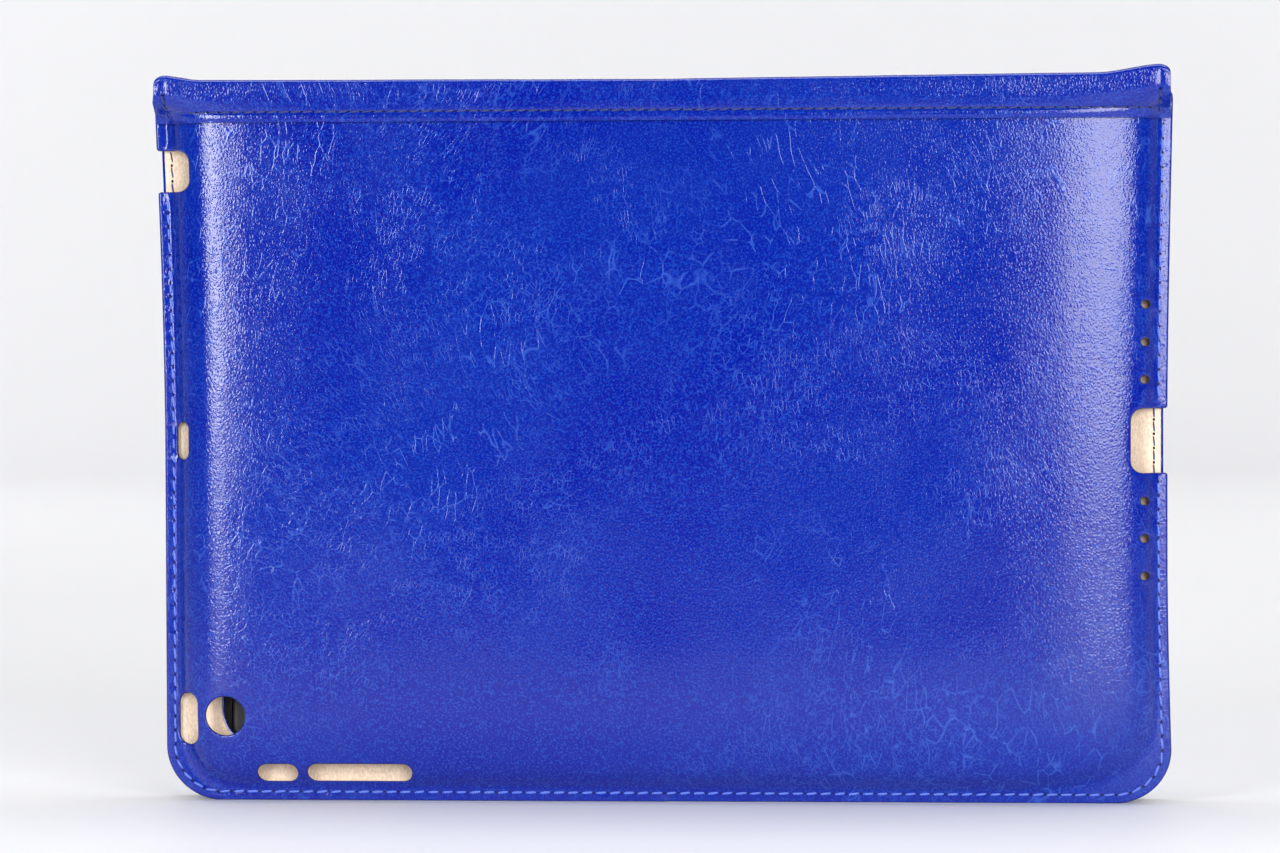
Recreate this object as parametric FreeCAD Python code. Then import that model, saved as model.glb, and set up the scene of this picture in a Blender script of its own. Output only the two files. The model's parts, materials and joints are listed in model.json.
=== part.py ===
import FreeCAD, Part
import math
import os

from FreeCAD import Vector

# Tablet keyboard folio, closed and standing upright on its long lower edges.
# Frame: X along the spine, Y from the sleeve's back towards the cover, Z up.
# The origin is the middle of the footprint.  All lengths are millimetres.

# ---- overall size
PANEL_W = 252.4          # sleeve panel, side to side
SPINE_W = 256.0          # spine strip, side to side
CASE_H = 184.0           # lower edge to the top of the spine
LOW_R = 14.0             # lower corners of the panels
TOP_R = 3.0              # upper corners of the panels
LAYER_STEP = 1.0         # the window frame and the cover are this much smaller than the sleeve, each side

# ---- material thicknesses
SKIN_T = 1.1             # leather
FRAME_SKIN_T = 0.9       # thinner leather on the window frame
BAND_T = 1.1             # spine strip leather
LINING_T = 0.5           # microfibre
FRAME_BOARD_T = 0.8
COVER_BOARD_T = 1.4
SPINE_BOARD_T = 1.2
THREAD_T = 0.25          # how far a thread row stands proud
THREAD_W = 0.6

# ---- tablet and its pocket
TABLET = (240.0, 7.5, 169.5)
TABLET_MID_Z = 91.6
POCKET_D = 7.9
CROWN = ((3.6, 0.0), (4.8, 4.4), (12.4, POCKET_D))   # distance in from the edge, height over the margin

# ---- spine and bands
BAND_H = 11.4            # height of the strip that shows on each panel
BAND_TOP_GAP = 0.3       # clearance of the bands under the fold and under the spine's lining
PANEL_TOP = 180.7        # upper edge of the sleeve's back and of the cover
FRAME_TOP = 178.5        # upper edge of the window frame, the pocket's mouth
SPINE_BOARD_MARGIN = 4.0
SPINE_LINING_MARGIN = 2.2
SPINE_END_MARGIN = 3.5

# ---- window frame and cover
WINDOW = (224.0, 154.0)
WINDOW_R = 8.0
RIM = 2.0                # leather turned round the boards
FRAME_MAGNET = (3.5, 0.8)
COVER_MAGNET = (5.0, COVER_BOARD_T)
MAGNET_X = (-100.0, -55.0, 55.0, 100.0)
MAGNET_Z = 8.0

# ---- seams
EDGE_SEAM = 1.9          # thread row's distance from the panel edge
COVER_SEAM = 1.9
BAND_SEAM = 2.6          # thread row's distance above the band's lower edge
SEAM_CUT = 0.8           # the row stops this far from a notch

# ---- cut-outs in the sleeve's back: centre x, centre z, width, height
HALF = PANEL_W / 2
HEADPHONE_NOTCH = (-HALF + 3.25, 160.5, 10.5, 10.4)
CONNECTOR_NOTCH = (HALF - 3.5, 91.6, 11.0, 16.2)
NOTCH_R = 3.0
SLOTS = (
    (-HALF + 4.9, 91.9, 3.3, 9.6),       # microphone
    (-HALF + 6.0, 21.0, 5.2, 13.4),      # power key
    (-HALF + 28.5, 7.3, 10.2, 4.6),      # mute switch
    (-HALF + 49.3, 7.4, 26.5, 4.6),      # volume keys
)
CAMERA_HOLE = (-HALF + 15.8, 22.0, 5.0)  # x, z, radius
SPEAKER_HOLE_R = 1.05
SPEAKER_X = HALF - 5.6
SPEAKER_PITCH = 9.45
SPEAKER_GROUPS = (57.6, 107.0)           # lowest hole of each group of three

# ---- keyboard
KB_W = 236.0
KB_Z = (9.0, 127.0)
KB_R = 6.0
KB_GAP = 0.6             # closed gap between the keycaps and the window frame
CAP_PROUD = 1.3
CAP_H = 1.9
CAP_TOP_T = 0.8
CAP_WALL = 0.9
CAP_R = 1.5
TRAVEL = 1.4
UNIT = 16.0
ROW_PITCH = 16.2
FUNCTION_ROW_H = 11.0
KEY_GAP = 1.8
KEY_CLEAR = 0.35
FIELD_COLUMNS = 14
FIELD_Z = KB_Z[0] + 5.5
TOP_FRAME_T = 1.0
SHELL_FLOOR_T = 0.9
SHELL_WALL = 1.2
KB_DEPTH = 5.2           # top frame's face to the bottom shell's face
DOME_SHEET_T = 0.3
DOME_H = 1.1
DOME_R = 2.6
BASE_PLATE_T = 0.4
KEY_TO_SHEET = 0.3       # clearance under a pressed key
ADHESIVE_T = 0.2
SCREW_R = 0.7
STUD_R = 1.6
PCB = (20.0, 110.0, 110.5, 125.5, 0.8)   # x0, x1, z0, z1, thickness
BATTERY = (-108.0, -36.0, 109.5, 124.5, 2.9)
SOCKET_X = 95.0
SWITCH_X = 72.0
SWITCH_TRAVEL = 1.0      # each way from the middle
BUTTON = (50.0, 117.5)   # x, z
LENS = (60.0, 117.5)

# widths of the keys in each row, in units, from the left as the row is read
KEY_ROWS = (
    ("keys_modifier_row", (1, 1, 1, 1.25, 0, 1, 1, 1, 1, 1)),   # 0 marks the space bar's place
    ("keys_lower_row", (2.25,) + (1,) * 10 + (1.75,)),
    ("keys_home_row", (1.75,) + (1,) * 10 + (2.25,)),
    ("keys_upper_row", (1.5,) + (1,) * 11 + (1.5,)),
    ("keys_number_row", (1,) * 14),
    ("keys_function_row", (1,) * 14),
)
SPACE_UNITS = 4.75

# ---- levels along Y, from the back of the case to the front of the cover
SLEEVE_D = BAND_T + SKIN_T + LINING_T + POCKET_D + LINING_T + FRAME_BOARD_T + FRAME_SKIN_T
COVER_D = KB_GAP + CAP_PROUD + KB_DEPTH + ADHESIVE_T + LINING_T + COVER_BOARD_T + SKIN_T + BAND_T
DEPTH = SLEEVE_D + COVER_D
Y_BACK = -DEPTH / 2
Y_FRONT = DEPTH / 2
Y_FACE = Y_BACK + SLEEVE_D                               # window frame's face towards the keyboard
Y_FRAME_BOARD = Y_FACE - FRAME_SKIN_T
Y_FRAME_LINING = Y_FRAME_BOARD - FRAME_BOARD_T
Y_POCKET = Y_FRAME_LINING - LINING_T                     # pocket's side of the frame lining
Y_MARGIN = Y_POCKET - LINING_T - SKIN_T                  # sewn margin's outer face
Y_KB_FACE = Y_FACE + KB_GAP + CAP_PROUD
Y_CAVITY = Y_KB_FACE + TOP_FRAME_T
Y_KB_BACK = Y_KB_FACE + KB_DEPTH
Y_FLOOR = Y_KB_BACK - SHELL_FLOOR_T
Y_CAP_TOP = Y_FACE + KB_GAP
Y_SHEET = Y_CAP_TOP + CAP_H + TRAVEL + KEY_TO_SHEET
Y_BASE_PLATE = Y_SHEET + DOME_SHEET_T
Y_COVER_LINING = Y_KB_BACK + ADHESIVE_T
Y_COVER_BOARD = Y_COVER_LINING + LINING_T
Y_COVER_SKIN = Y_COVER_BOARD + COVER_BOARD_T
Y_COVER_FACE = Y_COVER_SKIN + SKIN_T
FOLD_Z = CASE_H - BAND_T / 2                             # both fold axes
BAND_TOP = CASE_H - BAND_T - BAND_TOP_GAP
BAND_LOW = CASE_H - BAND_H
THROUGH = 40.0                                           # long enough for a tool to pass right through


def save(name, shape):
    """One piece of the case, written under its own name."""
    shape.exportStep(os.path.join("parts", name + ".step"))
    print(f"{name:26s} {len(shape.Solids):3d} solids {shape.Volume:10.1f} mm3 valid {shape.isValid()}")


def box(x0, x1, y0, y1, z0, z1):
    return Part.makeBox(x1 - x0, y1 - y0, z1 - z0, Vector(x0, y0, z0))


def rod(x, z, radius, y0, y1):
    """A round bar along Y."""
    return Part.makeCylinder(radius, y1 - y0, Vector(x, y0, z), Vector(0, 1, 0))


def corner(x, z, radius, start):
    """A quarter circle in the XZ plane, anticlockwise from the angle start."""
    points = [Vector(x + radius * math.cos(math.radians(start + turn)), 0,
                     z + radius * math.sin(math.radians(start + turn))) for turn in (0, 45, 90)]
    return Part.Arc(*points).toShape()


def plate(x0, x1, z0, z1, low_r, top_r, y0, y1):
    """A flat plate with one radius at its two lower corners and one at its two upper ones."""
    arcs = [
        corner(x1 - low_r, z0 + low_r, low_r, -90),
        corner(x1 - top_r, z1 - top_r, top_r, 0),
        corner(x0 + top_r, z1 - top_r, top_r, 90),
        corner(x0 + low_r, z0 + low_r, low_r, 180),
    ]
    edges = []
    for first, second in zip(arcs, arcs[1:] + arcs[:1]):
        start, end = first.Vertexes[-1].Point, second.Vertexes[0].Point
        edges.append(first)
        if start.distanceToPoint(end) > 1e-6:
            edges.append(Part.makeLine(start, end))
    face = Part.Face(Part.Wire(edges))
    face.translate(Vector(0, y0, 0))
    return face.extrude(Vector(0, y1 - y0, 0))


def slot(x, z, width, height, y0, y1):
    """A full-round slot through the leather."""
    radius = min(width, height) / 2 - 0.001
    return plate(x - width / 2, x + width / 2, z - height / 2, z + height / 2, radius, radius, y0, y1)


def polygon_prism(points, direction):
    wire = Part.makePolygon([Vector(*p) for p in points + points[:1]])
    return Part.Face(wire).extrude(Vector(*direction))


def inset_crown(inset):
    """The crown's profile moved inwards by a thickness, as (distance in, height) points."""
    first, last = CROWN[0], CROWN[-1]
    line = ((first[0] - 1, first[1]),) + CROWN + ((last[0] + 1, last[1]),)
    normals = []
    for (d0, h0), (d1, h1) in zip(line, line[1:]):
        length = math.hypot(d1 - d0, h1 - h0)
        normals.append(((h1 - h0) / length, -(d1 - d0) / length))
    moved = []
    for (d, h), (ax, ay), (bx, by) in zip(CROWN, normals, normals[1:]):
        scale = inset / (1 + ax * bx + ay * by)
        moved.append((d + scale * (ax + bx), h + scale * (ay + by)))
    return moved


def raised(inset, base_inset):
    """The space under the crowned back, for a surface set in by one thickness, down to another.

    Its lower corners are round, and run beside the panel's own.
    """
    profile = inset_crown(inset)
    profile = [(profile[0][0], -base_inset)] + profile
    across = [(-HALF + d, Y_MARGIN - h, 0) for d, h in profile]
    across += [(HALF - d, Y_MARGIN - h, 0) for d, h in reversed(profile)]
    up = [(-HALF, Y_MARGIN - h, d) for d, h in profile]
    up += [(-HALF, up[-1][1], CASE_H), (-HALF, Y_MARGIN + base_inset, CASE_H)]
    foot = profile[0][0]
    rounded = plate(-HALF + foot, HALF - foot, foot, 2 * CASE_H, LOW_R - foot, TOP_R, 2 * Y_BACK, Y_FRONT)
    return polygon_prism(across, (0, 0, CASE_H)).common(polygon_prism(up, (PANEL_W, 0, 0))).common(rounded)


def crowned_layer(outer, inner, margin):
    """A layer of the sleeve's back between two insets, with its flat margin cut to a given plate."""
    return margin.fuse(raised(outer, inner)).cut(raised(inner, inner))


def panel_plate(step, z_top, y0, y1, low_z=0.0):
    return plate(-HALF + step, HALF - step, low_z, z_top, LOW_R - step, TOP_R, y0, y1)


def back_cutouts():
    """Everything that is cut through the sleeve's back, as separate tools."""
    y0, y1 = Y_BACK - 1, Y_POCKET
    tools = [slot(*s, y0, y1) for s in SLOTS]
    for x, z, width, height in (HEADPHONE_NOTCH, CONNECTOR_NOTCH):
        tools.append(plate(x - width / 2, x + width / 2, z - height / 2, z + height / 2,
                           NOTCH_R, NOTCH_R, y0, y1))
    tools.append(rod(*CAMERA_HOLE, y0, y1))
    for low in SPEAKER_GROUPS:
        for i in range(3):
            tools.append(rod(SPEAKER_X, low + i * SPEAKER_PITCH, SPEAKER_HOLE_R, y0, y1))
    return tools


def seam_ring(step, z_top, y0, y1):
    """A thread row that follows a panel's two sides and its lower edge."""
    outer = plate(-HALF + step, HALF - step, step, z_top, LOW_R - step, 0.001, y0, y1)
    inside = step + THREAD_W
    inner = plate(-HALF + inside, HALF - inside, inside, z_top + 1, LOW_R - inside, 0.001, y0, y1)
    return outer.cut(inner)


def sleeve():
    skin_margin = panel_plate(0, PANEL_TOP, Y_MARGIN, Y_MARGIN + SKIN_T)
    lining_margin = panel_plate(LAYER_STEP, PANEL_TOP, Y_MARGIN + SKIN_T, Y_POCKET, LAYER_STEP)
    below_top = box(-HALF, HALF, Y_BACK, Y_FRONT, 0, PANEL_TOP)
    tools = back_cutouts()
    skin = crowned_layer(0, SKIN_T, skin_margin).common(below_top).cut(tools)
    lining = crowned_layer(SKIN_T, SKIN_T + LINING_T, lining_margin).common(below_top).cut(tools)
    save("sleeve_back_skin", skin)
    save("sleeve_back_lining", lining)

    thread = seam_ring(EDGE_SEAM, BAND_LOW - SEAM_CUT, Y_MARGIN - THREAD_T, Y_MARGIN)
    for x, z, width, height in (HEADPHONE_NOTCH, CONNECTOR_NOTCH):
        thread = thread.cut(box(x - width, x + width, Y_BACK, Y_FACE, z - height / 2 - SEAM_CUT,
                                z + height / 2 + SEAM_CUT))
    save("sleeve_edge_thread", thread)


def window_frame():
    """The stiffened frame that holds the tablet's front, with its leather turned round the board."""
    outer_x = HALF - LAYER_STEP
    window_x, window_z = WINDOW[0] / 2, WINDOW[1] / 2
    low, high = TABLET_MID_Z - window_z, TABLET_MID_Z + window_z

    def frame_plate(rim, y0, y1):
        ring = plate(-outer_x + rim, outer_x - rim, LAYER_STEP + rim, FRAME_TOP - rim,
                     LOW_R - LAYER_STEP - rim, TOP_R, y0, y1)
        hole = plate(-window_x - rim, window_x + rim, low - rim, high + rim,
                     WINDOW_R + rim, WINDOW_R + rim, y0, y1)
        return ring.cut(hole)

    magnets = [rod(x, MAGNET_Z, FRAME_MAGNET[0], Y_FRAME_BOARD - FRAME_MAGNET[1], Y_FRAME_BOARD)
               for x in MAGNET_X]
    board = frame_plate(RIM, Y_FRAME_LINING, Y_FRAME_BOARD)
    skin = frame_plate(0, Y_FRAME_LINING, Y_FACE).cut(board)
    save("window_frame_skin", skin)
    save("window_frame_board", board.cut(magnets))
    save("window_frame_lining", frame_plate(0, Y_POCKET, Y_FRAME_LINING))
    save("frame_magnets", Part.makeCompound(magnets))


def spine_band(outer, inner):
    """A layer of the spine strip where it lies on the crowned back."""
    half = SPINE_W / 2
    margin = box(-half, half, Y_MARGIN + outer, Y_MARGIN + inner, 0, CASE_H)
    return crowned_layer(outer, inner, margin)


def spine():
    half = SPINE_W / 2
    board_low = CASE_H - BAND_T - SPINE_BOARD_T
    on_sleeve = box(-half, half, Y_BACK, Y_FACE, BAND_LOW, BAND_TOP)
    under_board = box(-half, half, Y_BACK + SPINE_LINING_MARGIN - BAND_TOP_GAP, Y_FRONT,
                      board_low - LINING_T - BAND_TOP_GAP, CASE_H)
    save("spine_band_on_sleeve", spine_band(-BAND_T, 0).common(on_sleeve).cut(under_board))
    row = box(-half, half, Y_BACK - THREAD_T, Y_FACE, BAND_LOW + BAND_SEAM, BAND_LOW + BAND_SEAM + THREAD_W)
    band_thread = spine_band(-BAND_T - THREAD_T, -BAND_T).common(row)
    save("sleeve_band_thread", band_thread)

    folds = [Part.makeCylinder(BAND_T / 2, SPINE_W, Vector(-half, y, FOLD_Z), Vector(1, 0, 0))
             for y in (Y_BACK + BAND_T / 2, Y_FRONT - BAND_T / 2)]
    strip = box(-half, half, Y_BACK + BAND_T / 2, Y_FRONT - BAND_T / 2, CASE_H - BAND_T, CASE_H)
    save("spine_leather", strip.multiFuse(folds))

    end = half - SPINE_END_MARGIN
    save("spine_board", box(-end, end, Y_BACK + SPINE_BOARD_MARGIN, Y_FRONT - SPINE_BOARD_MARGIN,
                            board_low, CASE_H - BAND_T))
    save("spine_lining", box(-end, end, Y_BACK + SPINE_LINING_MARGIN, Y_FRONT - SPINE_LINING_MARGIN,
                             board_low - LINING_T, board_low))

    save("spine_band_on_cover", box(-half, half, Y_COVER_FACE, Y_FRONT, BAND_LOW, BAND_TOP))
    save("cover_band_thread", box(-half, half, Y_FRONT, Y_FRONT + THREAD_T, BAND_LOW + BAND_SEAM,
                                  BAND_LOW + BAND_SEAM + THREAD_W))


def cover():
    """The flat half that carries the keyboard."""
    board = panel_plate(LAYER_STEP + RIM, PANEL_TOP - RIM, Y_COVER_BOARD, Y_COVER_SKIN, LAYER_STEP + RIM)
    skin = panel_plate(LAYER_STEP, PANEL_TOP, Y_COVER_BOARD, Y_COVER_FACE).cut(board)
    magnets = [rod(x, MAGNET_Z + 2, COVER_MAGNET[0], Y_COVER_BOARD, Y_COVER_SKIN) for x in MAGNET_X]
    save("cover_skin", skin)
    save("cover_board", board.cut(magnets))
    save("cover_magnets", Part.makeCompound(magnets))
    save("cover_lining", panel_plate(LAYER_STEP, PANEL_TOP, Y_COVER_LINING, Y_COVER_BOARD, LAYER_STEP))
    thread = seam_ring(LAYER_STEP + COVER_SEAM, BAND_LOW - SEAM_CUT, Y_COVER_FACE, Y_COVER_FACE + THREAD_T)
    save("cover_edge_thread", thread)


def key_places():
    """Each key's row name and its cell, as x0, x1, z0, z1."""
    places = []
    z = FIELD_Z
    for name, widths in KEY_ROWS:
        height = FUNCTION_ROW_H if name == "keys_function_row" else ROW_PITCH
        x = -FIELD_COLUMNS * UNIT / 2
        for width in widths:
            owner = "space_bar" if width == 0 else name
            reach = UNIT * (width or SPACE_UNITS)
            places.append((owner, x, x + reach, z, z + height))
            x += reach
        z += height
    return places


def keycap(x0, x1, z0, z1):
    """A hollow keycap, its face towards the window frame."""
    inset = KEY_GAP / 2
    cap = plate(x0 + inset, x1 - inset, z0 + inset, z1 - inset, CAP_R, CAP_R, Y_CAP_TOP, Y_CAP_TOP + CAP_H)
    inset += CAP_WALL
    hollow = box(x0 + inset, x1 - inset, Y_CAP_TOP + CAP_TOP_T, Y_CAP_TOP + CAP_H, z0 + inset, z1 - inset)
    return cap.cut(hollow)


def screw_places():
    side = KB_W / 2 - 3.3
    places = [(sign * side, z) for sign in (-1, 1) for z in (18.0, 62.0, 103.0)]
    return places + [(-26.0, 119.0), (10.0, 119.0)]


def kb_plate(step, y0, y1):
    return plate(-KB_W / 2 + step, KB_W / 2 - step, KB_Z[0] + step, KB_Z[1] - step,
                 KB_R - step, KB_R - step, y0, y1)


def keyboard_shells(places):
    inset = KEY_GAP / 2 - KEY_CLEAR
    openings = [plate(x0 + inset, x1 - inset, z0 + inset, z1 - inset, CAP_R, CAP_R, Y_KB_FACE, Y_CAVITY)
                for _, x0, x1, z0, z1 in places]
    openings.append(rod(*BUTTON, 2.0, Y_KB_FACE, Y_CAVITY))
    openings.append(rod(*LENS, 0.82, Y_KB_FACE, Y_CAVITY))
    top = kb_plate(0, Y_KB_FACE, Y_CAVITY).cut(Part.makeCompound(openings))
    studs = [rod(x, z, STUD_R, Y_CAVITY, Y_FLOOR).cut(rod(x, z, SCREW_R + 0.02, Y_CAVITY + 0.3, Y_FLOOR))
             for x, z in screw_places()]
    save("keyboard_top_frame", top.multiFuse(studs))

    shell = kb_plate(0, Y_CAVITY, Y_KB_BACK).cut(kb_plate(SHELL_WALL, Y_CAVITY, Y_FLOOR))
    ribs = [box(-108, 108, Y_BASE_PLATE + BASE_PLATE_T, Y_FLOOR, z, z + 1)
            for z in (FIELD_Z + 4 + ROW_PITCH * i for i in range(6))]
    holes = [rod(x, z, SCREW_R + 0.2, Y_FLOOR, Y_KB_BACK) for x, z in screw_places()]
    holes += [rod(x, z, 1.45, Y_KB_BACK - 0.5, Y_KB_BACK) for x, z in screw_places()]
    edge = KB_Z[1] - SHELL_WALL - 1
    holes.append(box(SOCKET_X - 4.1, SOCKET_X + 4.1, Y_CAVITY, Y_CAVITY + 2.6, edge, KB_Z[1] + 1))
    holes.append(box(SWITCH_X - 2.3, SWITCH_X + 2.3, Y_CAVITY + 0.8, Y_CAVITY + 2.3, edge, KB_Z[1] + 1))
    save("keyboard_bottom_shell", shell.multiFuse(ribs).cut(holes))

    screws = [rod(x, z, SCREW_R, Y_CAVITY + 0.5, Y_KB_BACK - 0.5).fuse(
        rod(x, z, 1.3, Y_KB_BACK - 0.5, Y_KB_BACK - 0.02)) for x, z in screw_places()]
    save("shell_screws", Part.makeCompound(screws))
    save("keyboard_adhesive", kb_plate(4.0, Y_KB_BACK, Y_COVER_LINING))


def keyboard_inside(places):
    x0, x1 = -112.4, 112.4
    z0, z1 = FIELD_Z - 0.4, FIELD_Z + 5 * ROW_PITCH + FUNCTION_ROW_H + 0.4
    save("key_base_plate", box(x0, x1, Y_BASE_PLATE, Y_BASE_PLATE + BASE_PLATE_T, z0, z1))
    domes = []
    for _, left, right, low, high in places:
        centre = Vector((left + right) / 2, Y_SHEET, (low + high) / 2)
        domes.append(Part.makeCone(DOME_R, DOME_R / 2, DOME_H, centre, Vector(0, -1, 0)))
    save("rubber_dome_sheet", box(x0, x1, Y_SHEET, Y_BASE_PLATE, z0, z1).multiFuse(domes))

    pcb_face = Y_FLOOR - PCB[4]
    save("circuit_board", box(PCB[0], PCB[1], pcb_face, Y_FLOOR, PCB[2], PCB[3]))
    ribbon = [(62, Y_SHEET, z1), (62, pcb_face - 0.15, z1 + 3.5), (62, pcb_face - 0.15, z1 + 7),
              (62, pcb_face, z1 + 7), (62, pcb_face, z1 + 3.4), (62, Y_SHEET + 0.15, z1)]
    save("membrane_ribbon", polygon_prism(ribbon, (12, 0, 0)))
    save("battery", box(BATTERY[0], BATTERY[1], Y_FLOOR - BATTERY[4], Y_FLOOR, BATTERY[2], BATTERY[3]))

    socket = box(SOCKET_X - 3.8, SOCKET_X + 3.8, pcb_face - 2.4, pcb_face, KB_Z[1] - 6.6, KB_Z[1] - 1.0)
    mouth = box(SOCKET_X - 3.4, SOCKET_X + 3.4, pcb_face - 2.1, pcb_face - 0.3, KB_Z[1] - 6.0, KB_Z[1])
    tongue = box(SOCKET_X - 2.6, SOCKET_X + 2.6, pcb_face - 1.4, pcb_face - 0.8, KB_Z[1] - 6.0, KB_Z[1] - 2.0)
    save("charging_socket", socket.cut(mouth).fuse(tongue))

    housing = box(SWITCH_X - 3.5, SWITCH_X + 3.5, pcb_face - 2.0, pcb_face, KB_Z[1] - 5.5, KB_Z[1] - 1.4)
    channel = box(SWITCH_X - 2.3, SWITCH_X + 2.3, pcb_face - 1.7, pcb_face - 0.2, KB_Z[1] - 4.3, KB_Z[1])
    save("switch_housing", housing.cut(channel))
    save("pairing_tact_switch", box(BUTTON[0] - 2.2, BUTTON[0] + 2.2, pcb_face - 0.6, pcb_face,
                                    BUTTON[1] - 2.2, BUTTON[1] + 2.2))
    save("status_lens", rod(*LENS, 0.8, Y_KB_FACE, Y_CAVITY + 0.5))


def moving_pieces(places):
    rows = {}
    for owner, x0, x1, z0, z1 in places:
        rows.setdefault(owner, []).append(keycap(x0, x1, z0, z1))
    for owner, caps in rows.items():
        save(owner, Part.makeCompound(caps))

    pcb_face = Y_FLOOR - PCB[4]
    knob = box(SWITCH_X - SWITCH_TRAVEL - 0.9, SWITCH_X - SWITCH_TRAVEL + 0.9, pcb_face - 1.4, pcb_face - 0.5,
               KB_Z[1] - 4.0, KB_Z[1] + 1.0)
    save("power_switch_slider", knob)
    button = rod(*BUTTON, 1.7, Y_KB_FACE - 0.4, Y_CAVITY + 0.3)
    flange = rod(*BUTTON, 2.5, Y_CAVITY + 0.3, Y_CAVITY + 0.7)
    stem = rod(*BUTTON, 1.0, Y_CAVITY + 0.7, pcb_face - 0.6 - 0.7)
    save("pairing_button", button.multiFuse([flange, stem]))


os.makedirs("parts", exist_ok=True)
sleeve()
window_frame()
spine()
cover()
keys = key_places()
keyboard_shells(keys)
keyboard_inside(keys)
moving_pieces(keys)
print(f"depth {DEPTH:.2f}  face {Y_FACE:.2f}  margin {Y_MARGIN:.2f}  pocket {Y_POCKET:.2f}  fold z {FOLD_Z:.2f}")
print(f"keyboard face {Y_KB_FACE:.2f}  cavity {Y_CAVITY:.2f}  floor {Y_FLOOR:.2f}  cover face {Y_COVER_FACE:.2f}")
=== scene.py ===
"""Tablet keyboard folio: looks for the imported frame.  Lengths in the tables and functions are millimetres."""
import json
import math
import random
import bmesh
import bpy
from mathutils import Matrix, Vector, kdtree, noise
from mathutils.geometry import delaunay_2d_cdt


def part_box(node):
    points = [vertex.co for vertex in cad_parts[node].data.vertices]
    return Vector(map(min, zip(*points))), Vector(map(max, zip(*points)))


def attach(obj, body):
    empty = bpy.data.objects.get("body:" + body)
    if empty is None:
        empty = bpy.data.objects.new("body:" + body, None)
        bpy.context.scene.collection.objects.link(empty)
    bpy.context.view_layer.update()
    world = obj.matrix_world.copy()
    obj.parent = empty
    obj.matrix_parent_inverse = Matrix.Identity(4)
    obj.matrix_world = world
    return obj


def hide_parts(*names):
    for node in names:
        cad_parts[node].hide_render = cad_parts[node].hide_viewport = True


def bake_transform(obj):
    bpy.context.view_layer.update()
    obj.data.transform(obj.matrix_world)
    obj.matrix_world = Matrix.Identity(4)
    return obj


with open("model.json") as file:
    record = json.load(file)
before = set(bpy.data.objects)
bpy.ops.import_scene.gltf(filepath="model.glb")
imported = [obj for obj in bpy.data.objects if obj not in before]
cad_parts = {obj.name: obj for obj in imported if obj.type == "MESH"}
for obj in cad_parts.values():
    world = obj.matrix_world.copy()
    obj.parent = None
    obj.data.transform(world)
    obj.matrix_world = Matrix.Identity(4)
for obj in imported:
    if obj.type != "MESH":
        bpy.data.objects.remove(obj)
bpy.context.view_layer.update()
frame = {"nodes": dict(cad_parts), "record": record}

MM = 0.001

# ---- levels and sizes of the frame, read from its nodes
lo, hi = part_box("sleeve_back_skin")
HALF = hi.x / MM                                  # half the panel's width
PANEL_TOP = hi.z / MM
Y_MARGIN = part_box("sleeve_edge_thread")[1].y / MM
lo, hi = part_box("window_frame_lining")
Y_POCKET, Y_FRAME_LINING = lo.y / MM, hi.y / MM
FRAME_STEP = HALF - hi.x / MM
FRAME_TOP = hi.z / MM
Y_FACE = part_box("window_frame_skin")[1].y / MM
lo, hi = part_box("cover_skin")
Y_COVER_BOARD, Y_COVER_FACE = lo.y / MM, hi.y / MM
COVER_HALF = hi.x / MM
Y_COVER_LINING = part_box("cover_lining")[0].y / MM
lo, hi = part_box("spine_leather")
SPINE_HALF = hi.x / MM
Y_SPINE = hi.y / MM
lo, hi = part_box("spine_band_on_sleeve")
BAND_LOW = lo.z / MM
BOARD_HALF_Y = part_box("spine_board")[1].y / MM
BOARD_HALF_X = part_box("spine_board")[1].x / MM

SKIN_T, LINING_T, BAND_T, BOARD_T = 1.1, 0.5, 1.1, 1.2
LOW_R, TOP_R = 14.0, 3.0
WINDOW = (112.0, 14.6, 168.6, 8.0)                # half width, low, high, radius
HEADPHONE = (155.3, 165.7, 8.5)                   # low, high, depth in from the edge
CONNECTOR = (83.5, 99.7, 9.0)
NOTCH_R = 3.0
SLOTS = ((-121.3, 91.9, 3.3, 9.6), (-120.2, 21.0, 5.2, 13.4), (-97.7, 7.3, 10.2, 4.6), (-76.9, 7.4, 26.5, 4.6))
HOLES = ((-110.4, 22.0, 5.0),) + tuple((120.6, low + i * 9.45, 1.05) for low in (57.6, 107.0) for i in range(3))
EDGE_SEAM = 2.2                                    # in from the edge
BAND_SEAM, END_SEAM = 2.6, 2.5                     # up from the band's lower edge, in from its ends
STITCH_PITCH = 3.55


def curve(points):
    """A smooth curve through points that never overshoots them."""
    xs, ys = zip(*points)
    steps = [(y1 - y0) / (x1 - x0) for x0, x1, y0, y1 in zip(xs, xs[1:], ys, ys[1:])]
    slopes = [steps[0]] + [0.0 if a * b <= 0 else 2 * a * b / (a + b) for a, b in zip(steps, steps[1:])] + [steps[-1]]

    def at(x):
        if x <= xs[0]:
            return ys[0]
        if x >= xs[-1]:
            return ys[-1]
        i = max(k for k in range(len(xs) - 1) if xs[k] <= x)
        width = xs[i + 1] - xs[i]
        t = (x - xs[i]) / width
        return ((2 * t ** 3 - 3 * t ** 2 + 1) * ys[i] + (t ** 3 - 2 * t ** 2 + t) * width * slopes[i]
                + (3 * t ** 2 - 2 * t ** 3) * ys[i + 1] + (t ** 3 - t ** 2) * width * slopes[i + 1])
    return at


def smooth(a, b, x):
    t = min(1.0, max(0.0, (x - a) / (b - a)))
    return t * t * (3 - 2 * t)


# ---- shape of the sleeve's back
rise = curve(((3.2, 0), (3.8, 0.5), (4.6, 1.9), (5.4, 3.2), (6.3, 4.2), (7.5, 5.1), (9, 5.95), (12, 7.0),
              (16, 7.6), (24, 7.95), (60, 8.1)))


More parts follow.
